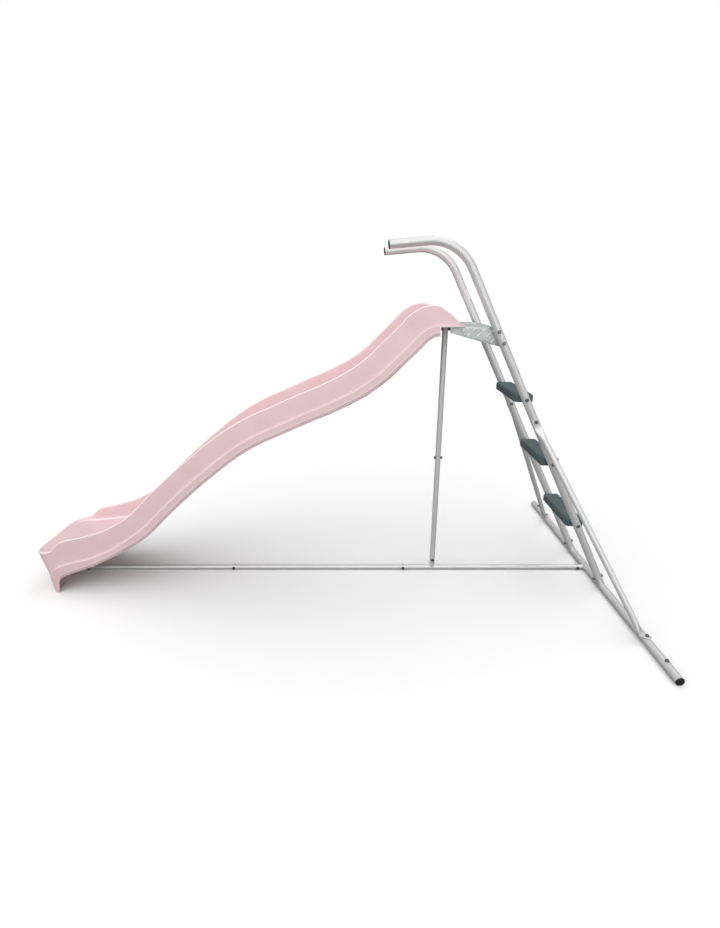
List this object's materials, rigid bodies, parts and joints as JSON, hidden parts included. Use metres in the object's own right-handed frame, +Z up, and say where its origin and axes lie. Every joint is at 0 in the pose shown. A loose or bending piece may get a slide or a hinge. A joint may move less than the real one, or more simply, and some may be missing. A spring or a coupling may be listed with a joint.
{
  "type": "slide",
  "caption": "Free-standing wave slide: a moulded chute on a bolted steel-tube frame with a ladder, a small platform, bent handrails and a wide base tube.",
  "frame": {"origin": "on the ground under the middle of the bounding box", "axes": "+X along the slide from the chute's exit to the ladder, +Y to the slide's left side seen from the exit looking up, +Z up"},
  "size_m": [3.05, 1.782, 1.7395],
  "materials": {
    "painted_steel": "powder coated, satin",
    "tread_steel": "galvanised checker plate, satin",
    "zinc_bolts": "zinc plated",
    "black_plastic": "moulded, matte",
    "step_plastic": "moulded, fine grain",
    "chute_plastic": "moulded polyethylene, satin"
  },
  "bodies": {
    "root": {"base_tube_center": "painted_steel", "base_tube_end_left": "painted_steel", "base_tube_end_right": "painted_steel", "base_cap_left": "black_plastic", "base_cap_right": "black_plastic", "stile_lower_left": "painted_steel", "stile_lower_right": "painted_steel", "handrail_left": "painted_steel", "handrail_cap_left": "black_plastic", "handrail_right": "painted_steel", "handrail_cap_right": "black_plastic", "outer_brace_left": "painted_steel", "outer_brace_right": "painted_steel", "ground_tube_front": "painted_steel", "ground_tube_middle": "painted_steel", "ground_tube_rear": "painted_steel", "post_lower": "painted_steel", "post_upper": "painted_steel", "post_head": "tread_steel", "platform": "tread_steel", "step_lower": "step_plastic", "step_middle": "step_plastic", "step_upper": "step_plastic", "chute": "chute_plastic", "chute_foot_bracket": "tread_steel", "stile_base_bolt_left": "zinc_bolts", "brace_top_bolt_left": "zinc_bolts", "brace_foot_bolt_left": "zinc_bolts", "anchor_bolt_left": "zinc_bolts", "step_bolt_lower_left": "zinc_bolts", "step_bolt_middle_left": "zinc_bolts", "step_bolt_upper_left": "zinc_bolts", "platform_bolt_low_left": "zinc_bolts", "platform_bolt_high_left": "zinc_bolts", "chute_top_bolt_left": "zinc_bolts", "chute_foot_bolt_left": "zinc_bolts", "stile_base_bolt_right": "zinc_bolts", "brace_top_bolt_right": "zinc_bolts", "brace_foot_bolt_right": "zinc_bolts", "anchor_bolt_right": "zinc_bolts", "step_bolt_lower_right": "zinc_bolts", "step_bolt_middle_right": "zinc_bolts", "step_bolt_upper_right": "zinc_bolts", "platform_bolt_low_right": "zinc_bolts", "platform_bolt_high_right": "zinc_bolts", "chute_top_bolt_right": "zinc_bolts", "chute_foot_bolt_right": "zinc_bolts", "ground_joint_bolt_front": "zinc_bolts", "ground_joint_bolt_rear": "zinc_bolts", "ground_front_bolt": "zinc_bolts", "ground_base_bolt": "zinc_bolts", "post_base_bolt": "zinc_bolts", "post_joint_bolt": "zinc_bolts", "post_head_bolt": "zinc_bolts"}
  },
  "joints": []
}
